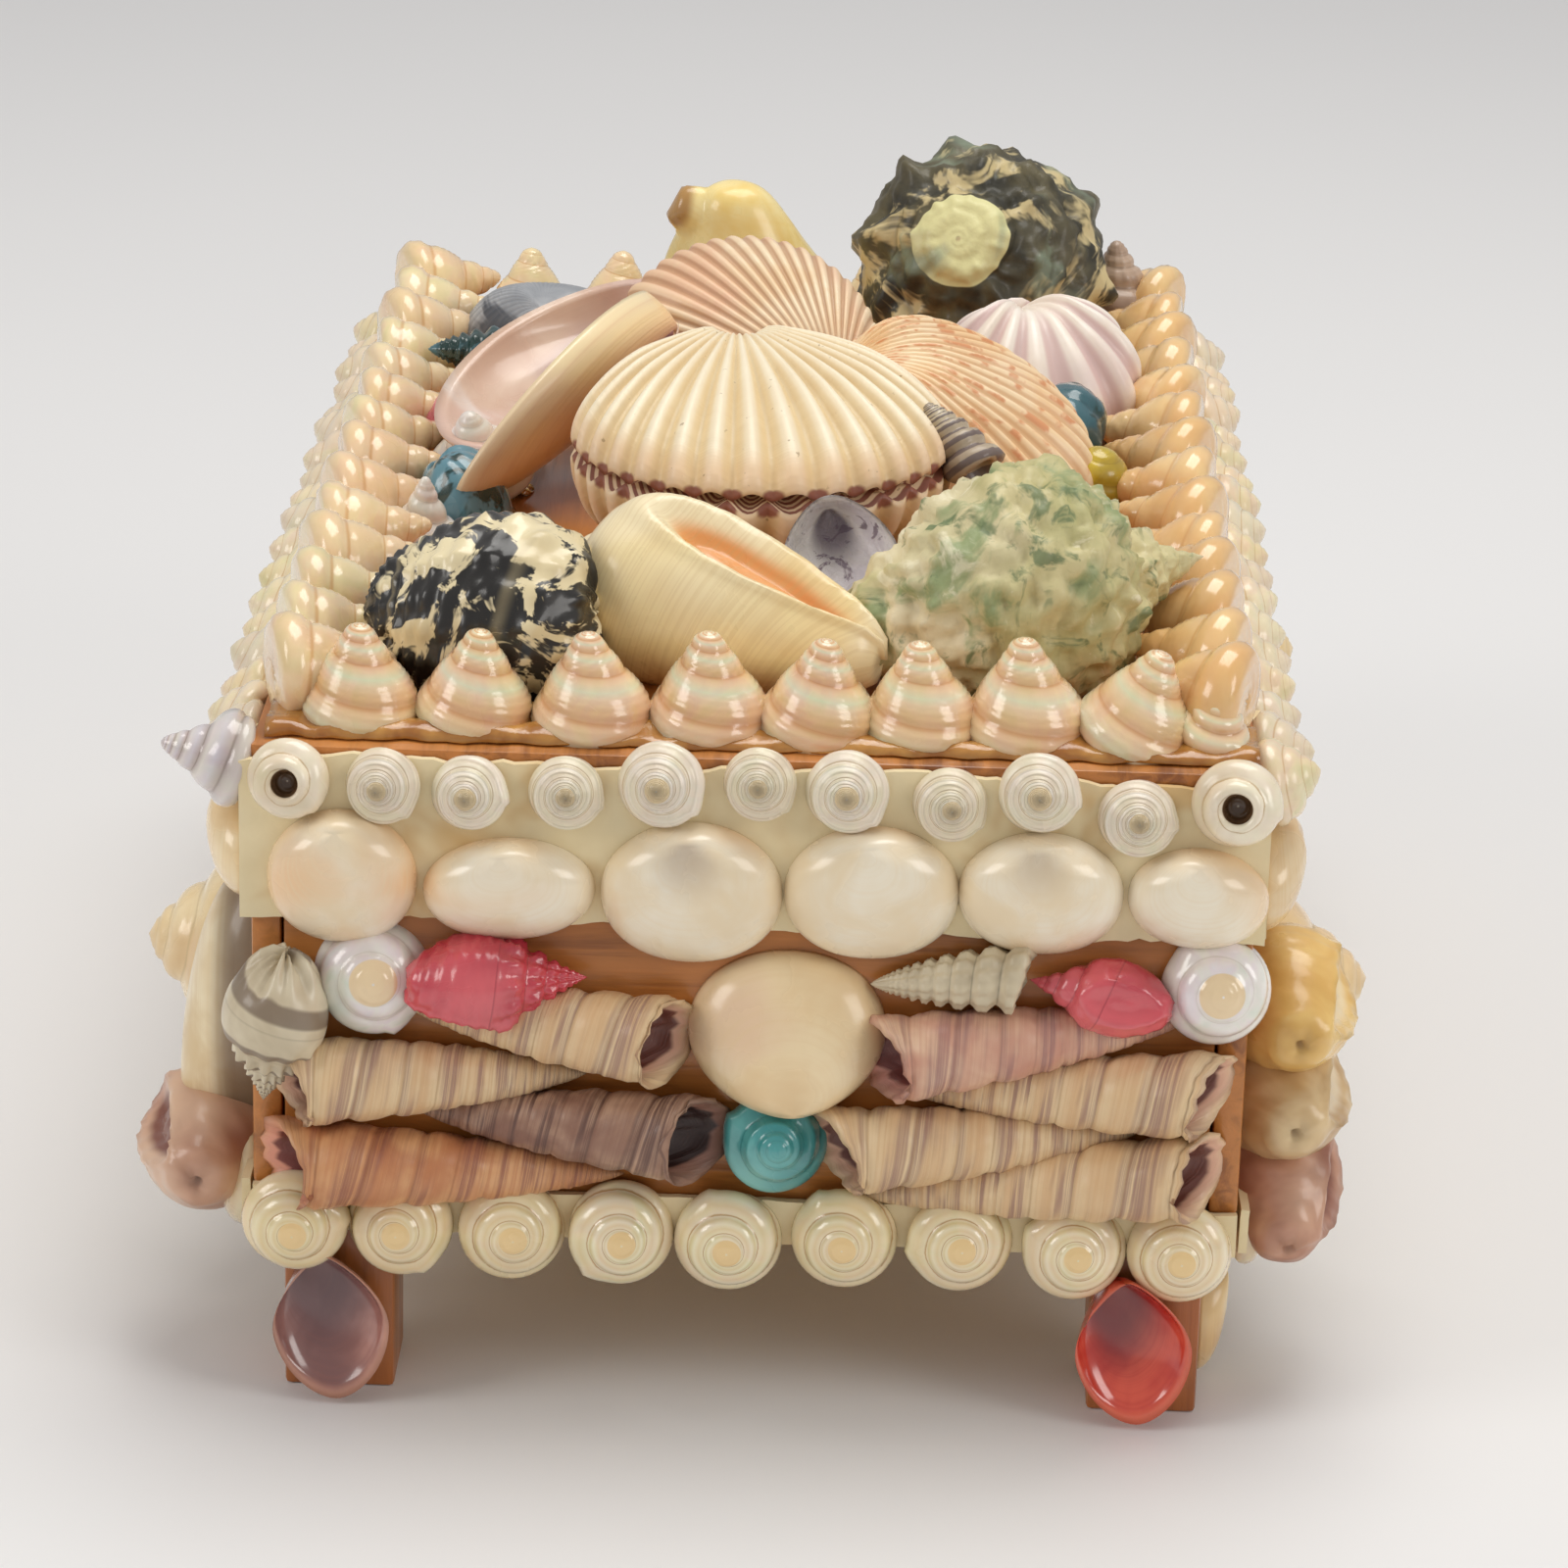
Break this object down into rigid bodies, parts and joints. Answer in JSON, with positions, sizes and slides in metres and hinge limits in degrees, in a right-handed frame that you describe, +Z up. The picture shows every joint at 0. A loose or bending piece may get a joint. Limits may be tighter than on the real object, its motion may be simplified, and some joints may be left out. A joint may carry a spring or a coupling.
{
  "type": "shell box",
  "caption": "Small wooden trinket box on four legs with a lift-off lid, covered all over with glued seashells; hollow and empty inside.",
  "frame": {"origin": "on the floor under the middle of the whole box, at the level of the feet", "axes": "+X to the right seen from the front, -Y towards the front, the short side that shows the most shells, +Z up; the box is longest along Y"},
  "size_m": [0.1324, 0.192, 0.1008],
  "materials": {
    "amber_shell": "glossy",
    "cream_shell": "satin",
    "dark_shell": "satin",
    "green_shell": "satin",
    "grey_shell": "satin",
    "mauve_shell": "glossy",
    "orange_shell": "satin",
    "pale_wood": "bare",
    "peach_shell": "satin",
    "pearl_shell": "glossy",
    "pink_shell": "satin",
    "red_shell": "glossy",
    "shelled_card": "matt card under glossy shells",
    "tan_shell": "satin",
    "teal_shell": "satin",
    "varnished_wood": "satin varnish",
    "white_shell": "glossy",
    "yellow_shell": "satin"
  },
  "bodies": {
    "root": {"box_floor": "pale_wood", "box_wall_left": "varnished_wood", "box_wall_right": "varnished_wood", "box_wall_front": "varnished_wood", "box_wall_back": "varnished_wood", "leg_front_left": "varnished_wood", "leg_back_left": "varnished_wood", "leg_front_right": "varnished_wood", "leg_back_right": "varnished_wood", "lid_board": "varnished_wood", "lid_rail_left": "varnished_wood", "lid_rail_right": "varnished_wood", "lid_rail_front": "varnished_wood", "lid_rail_back": "varnished_wood", "lid_band_front": "shelled_card", "lid_band_left": "shelled_card", "lid_band_right": "shelled_card", "lid_band_back": "shelled_card", "low_row_front": "shelled_card", "low_row_left": "shelled_card", "low_row_right": "shelled_card", "low_row_back": "shelled_card", "clam_front": "cream_shell", "spiral_teal": "teal_shell", "augers_front_left": "tan_shell", "augers_front_right": "tan_shell", "small_shells_front_left": "pearl_shell", "small_shells_front_right": "red_shell", "shells_middle_left": "tan_shell", "shells_front_left": "cream_shell", "shells_back_left": "cream_shell", "shells_middle_right": "tan_shell", "shells_front_right": "cream_shell", "shells_back_right": "cream_shell", "clams_back": "cream_shell", "leg_shell_front_left": "mauve_shell", "leg_shell_back_left": "mauve_shell", "leg_shell_front_right": "red_shell", "leg_shell_back_right": "mauve_shell", "lid_row_front": "pearl_shell", "lid_row_left": "pearl_shell", "lid_row_right": "amber_shell", "lid_row_back": "pearl_shell", "cockle_white": "cream_shell", "cockle_tan": "tan_shell", "cockle_orange": "orange_shell", "nerite": "dark_shell", "whelk_cream": "cream_shell", "rock_shell": "green_shell", "turban": "dark_shell", "mussel_yellow": "yellow_shell", "scallop_pink": "pink_shell", "open_clam_left": "pink_shell", "open_clam_right": "peach_shell", "limpet_blue": "teal_shell", "valve_grey": "grey_shell", "top_shell_white": "white_shell", "valve_teal": "teal_shell", "valve_silver": "grey_shell", "bubble_teal": "teal_shell"}
  },
  "joints": []
}
